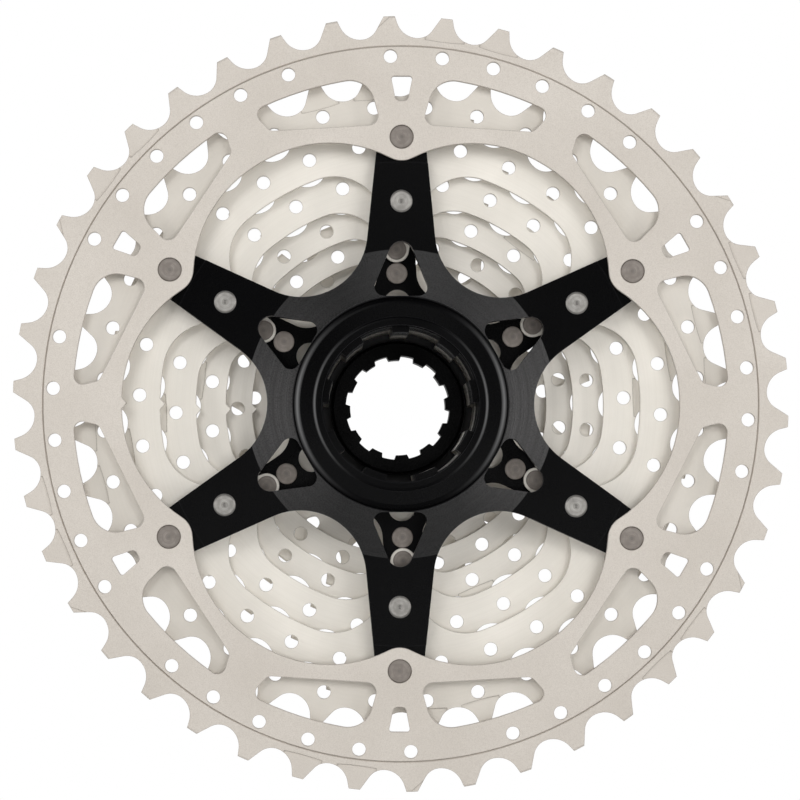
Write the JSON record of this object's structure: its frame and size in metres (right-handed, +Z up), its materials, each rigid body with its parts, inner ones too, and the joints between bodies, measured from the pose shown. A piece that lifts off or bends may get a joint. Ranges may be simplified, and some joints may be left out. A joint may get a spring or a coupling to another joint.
{
  "type": "bicycle cassette",
  "caption": "Wide-range bicycle cassette: toothed sprockets on two spiders, spacers and a threaded lockring on a splined bore.",
  "frame": {"origin": "on the freehub axis, at the inboard seating face of the large spider's hub", "axes": "+Y along the freehub axis, outboard, towards the smallest sprocket; X and Z in the plane of the sprockets, +Z up"},
  "size_m": [0.1714, 0.0437, 0.1716],
  "materials": {
    "blasted_alloy": "fine bead-blasted, warm silver grey",
    "sprocket_steel": "satin nickel-plated steel, slightly cream",
    "black_anodised": "black satin anodised, lathe-turned on the hub",
    "dark_rivet_steel": "dark brown-grey rivet heads",
    "rivet_steel": "bright steel with turning marks"
  },
  "bodies": {
    "large_spider_cluster": {"large_spider": "black_anodised", "sprocket_42t": "blasted_alloy", "sprocket_36t": "sprocket_steel", "sprocket_32t": "sprocket_steel", "tip_rivets": "dark_rivet_steel", "mid_arm_rivets": "rivet_steel"},
    "small_spider_cluster": {"small_spider": "black_anodised", "sprocket_28t": "sprocket_steel", "sprocket_24t": "sprocket_steel", "small_spider_outer_rivets": "dark_rivet_steel", "small_spider_inner_rivets": "dark_rivet_steel"},
    "loose_21t": {"sprocket_21t": "sprocket_steel"},
    "spacer_a": {"spacer_21_19": "black_anodised"},
    "loose_19t": {"sprocket_19t": "sprocket_steel"},
    "spacer_b": {"spacer_19_17": "black_anodised"},
    "loose_17t": {"sprocket_17t": "sprocket_steel"},
    "spacer_c": {"spacer_17_15": "black_anodised"},
    "loose_15t": {"sprocket_15t": "sprocket_steel"},
    "loose_13t": {"sprocket_13t": "sprocket_steel"},
    "loose_11t": {"sprocket_11t": "sprocket_steel"},
    "washer": {"lockring_washer": "rivet_steel"},
    "lockring_body": {"lockring": "black_anodised"}
  },
  "joints": [
    {"name": "small_cluster_slide", "type": "slide", "parent": "large_spider_cluster", "child": "small_spider_cluster", "axis": [0, 1, 0], "range_m": [0, 0.012]},
    {"name": "sprocket_21t_slide", "type": "slide", "parent": "small_spider_cluster", "child": "loose_21t", "axis": [0, 1, 0], "range_m": [0, 0.01]},
    {"name": "spacer_21_19_slide", "type": "slide", "parent": "loose_21t", "child": "spacer_a", "axis": [0, 1, 0], "range_m": [0, 0.01]},
    {"name": "sprocket_19t_slide", "type": "slide", "parent": "spacer_a", "child": "loose_19t", "axis": [0, 1, 0], "range_m": [0, 0.01]},
    {"name": "spacer_19_17_slide", "type": "slide", "parent": "loose_19t", "child": "spacer_b", "axis": [0, 1, 0], "range_m": [0, 0.01]},
    {"name": "sprocket_17t_slide", "type": "slide", "parent": "spacer_b", "child": "loose_17t", "axis": [0, 1, 0], "range_m": [0, 0.01]},
    {"name": "spacer_17_15_slide", "type": "slide", "parent": "loose_17t", "child": "spacer_c", "axis": [0, 1, 0], "range_m": [0, 0.01]},
    {"name": "sprocket_15t_slide", "type": "slide", "parent": "spacer_c", "child": "loose_15t", "axis": [0, 1, 0], "range_m": [0, 0.01]},
    {"name": "sprocket_13t_slide", "type": "slide", "parent": "loose_15t", "child": "loose_13t", "axis": [0, 1, 0], "range_m": [0, 0.01]},
    {"name": "sprocket_11t_slide", "type": "slide", "parent": "loose_13t", "child": "loose_11t", "axis": [0, 1, 0], "range_m": [0, 0.01]},
    {"name": "lockring_travel", "type": "slide", "parent": "loose_11t", "child": "washer", "axis": [0, 1, 0], "range_m": [0, 0.00529]},
    {"name": "lockring_turn", "type": "hinge", "parent": "washer", "child": "lockring_body", "pos_m": [0, 0.043, 0], "axis": [0, 1, 0], "range_deg": [0, 1800]}
  ],
  "couplings": [
    {"joint": "lockring_travel", "follows": "lockring_turn", "m_per_rad": 0.00016839}
  ]
}
